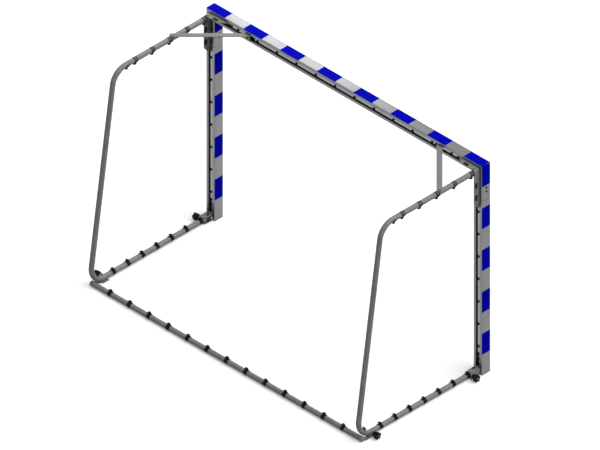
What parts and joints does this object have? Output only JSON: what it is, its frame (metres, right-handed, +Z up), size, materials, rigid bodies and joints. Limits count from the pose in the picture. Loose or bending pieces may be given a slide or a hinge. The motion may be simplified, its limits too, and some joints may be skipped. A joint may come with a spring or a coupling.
{
  "type": "mini handball goal",
  "caption": "Free-standing indoor handball goal with square striped posts and crossbar, fold-in side hoops, diagonal struts and a clamp-on rear ground bar.",
  "frame": {"origin": "on the ground, under the middle of the whole goal", "axes": "+X across the goal towards the right-hand post as seen from the field, +Y from the goal line towards the ground bar, +Z up"},
  "size_m": [2.6334, 1.2026, 1.68],
  "materials": {
    "anodised_aluminium": "anodised, with blue stripes on the visible model",
    "zinc_tube": "galvanised",
    "zinc_plate": "galvanised",
    "dark_steel": "dark powder coat",
    "black_plastic": "moulded",
    "zinc_screw": "zinc plated"
  },
  "bodies": {
    "frame": {"crossbar": "anodised_aluminium", "crossbar_hook_rail": "black_plastic", "left_corner_stub": "anodised_aluminium", "left_post": "anodised_aluminium", "left_joint_sleeve": "zinc_plate", "left_joint_bolt_lower": "zinc_screw", "left_joint_bolt_upper": "zinc_screw", "left_foot_cap": "black_plastic", "left_corner_bracket": "zinc_plate", "left_bracket_bolt_upper": "zinc_screw", "left_bracket_bolt_lower": "zinc_screw", "left_upper_hinge_bolt": "zinc_screw", "left_foot_bracket": "dark_steel", "left_foot_bracket_bolt_lower": "zinc_screw", "left_foot_bracket_bolt_upper": "zinc_screw", "left_lower_hinge_bolt": "black_plastic", "left_strut_catch": "black_plastic", "left_catch_screw": "zinc_screw", "left_post_hook_rail": "black_plastic", "right_corner_stub": "anodised_aluminium", "right_post": "anodised_aluminium", "right_joint_sleeve": "zinc_plate", "right_joint_bolt_lower": "zinc_screw", "right_joint_bolt_upper": "zinc_screw", "right_foot_cap": "black_plastic", "right_corner_bracket": "zinc_plate", "right_bracket_bolt_upper": "zinc_screw", "right_bracket_bolt_lower": "zinc_screw", "right_upper_hinge_bolt": "zinc_screw", "right_foot_bracket": "dark_steel", "right_foot_bracket_bolt_lower": "zinc_screw", "right_foot_bracket_bolt_upper": "zinc_screw", "right_lower_hinge_bolt": "black_plastic", "right_strut_catch": "black_plastic", "right_catch_screw": "zinc_screw", "right_post_hook_rail": "black_plastic"},
    "left_side_hoop": {"left_hoop": "zinc_tube", "left_hinge_lug": "zinc_plate", "left_pivot_block": "dark_steel", "left_strut_bolt": "zinc_screw"},
    "left_diagonal": {"left_strut": "zinc_plate"},
    "right_side_hoop": {"right_hoop": "zinc_tube", "right_hinge_lug": "zinc_plate", "right_pivot_block": "dark_steel", "right_strut_bolt": "zinc_screw"},
    "right_diagonal": {"right_strut": "zinc_plate"},
    "ground_rail": {"ground_bar": "zinc_tube", "left_bar_end_cap": "black_plastic", "left_bar_clamp": "zinc_plate", "right_bar_end_cap": "black_plastic", "right_bar_clamp": "zinc_plate"},
    "left_front_star_knob": {"left_front_knob": "black_plastic", "left_front_knob_stud": "zinc_screw"},
    "left_rear_star_knob": {"left_rear_knob": "black_plastic", "left_rear_knob_stud": "zinc_screw"},
    "right_front_star_knob": {"right_front_knob": "black_plastic", "right_front_knob_stud": "zinc_screw"},
    "right_rear_star_knob": {"right_rear_knob": "black_plastic", "right_rear_knob_stud": "zinc_screw"}
  },
  "joints": [
    {"name": "left_hoop_fold", "type": "hinge", "parent": "frame", "child": "left_side_hoop", "pos_m": [-1.232, -0.4915, 0.83], "axis": [0, 0, -1], "range_deg": [0, 90]},
    {"name": "left_strut_swing", "type": "hinge", "parent": "left_side_hoop", "child": "left_diagonal", "pos_m": [-1.24, -0.1675, 1.6548], "axis": [0, 0, -1], "range_deg": [-135, 0]},
    {"name": "right_hoop_fold", "type": "hinge", "parent": "frame", "child": "right_side_hoop", "pos_m": [1.232, -0.4915, 0.83], "axis": [0, 0, 1], "range_deg": [0, 90]},
    {"name": "right_strut_swing", "type": "hinge", "parent": "right_side_hoop", "child": "right_diagonal", "pos_m": [1.24, -0.1675, 1.6548], "axis": [0, 0, 1], "range_deg": [-135, 0]},
    {"name": "ground_bar_pull", "type": "slide", "parent": "frame", "child": "ground_rail", "axis": [0, 1, 0], "range_m": [0, 0.3]},
    {"name": "left_front_knob_turn", "type": "hinge", "parent": "frame", "child": "left_front_star_knob", "pos_m": [-1.2655, -0.4485, 0.0273], "axis": [-1, 0, 0], "continuous": true},
    {"name": "left_rear_knob_turn", "type": "hinge", "parent": "ground_rail", "child": "left_rear_star_knob", "pos_m": [-1.2655, 0.4715, 0.0273], "axis": [-1, 0, 0], "continuous": true},
    {"name": "right_front_knob_turn", "type": "hinge", "parent": "frame", "child": "right_front_star_knob", "pos_m": [1.2655, -0.4485, 0.0273], "axis": [1, 0, 0], "continuous": true},
    {"name": "right_rear_knob_turn", "type": "hinge", "parent": "ground_rail", "child": "right_rear_star_knob", "pos_m": [1.2655, 0.4715, 0.0273], "axis": [1, 0, 0], "continuous": true}
  ],
  "couplings": [
    {"joint": "left_strut_swing", "follows": "left_hoop_fold", "ratio": -1.5},
    {"joint": "right_strut_swing", "follows": "right_hoop_fold", "ratio": -1.5}
  ]
}
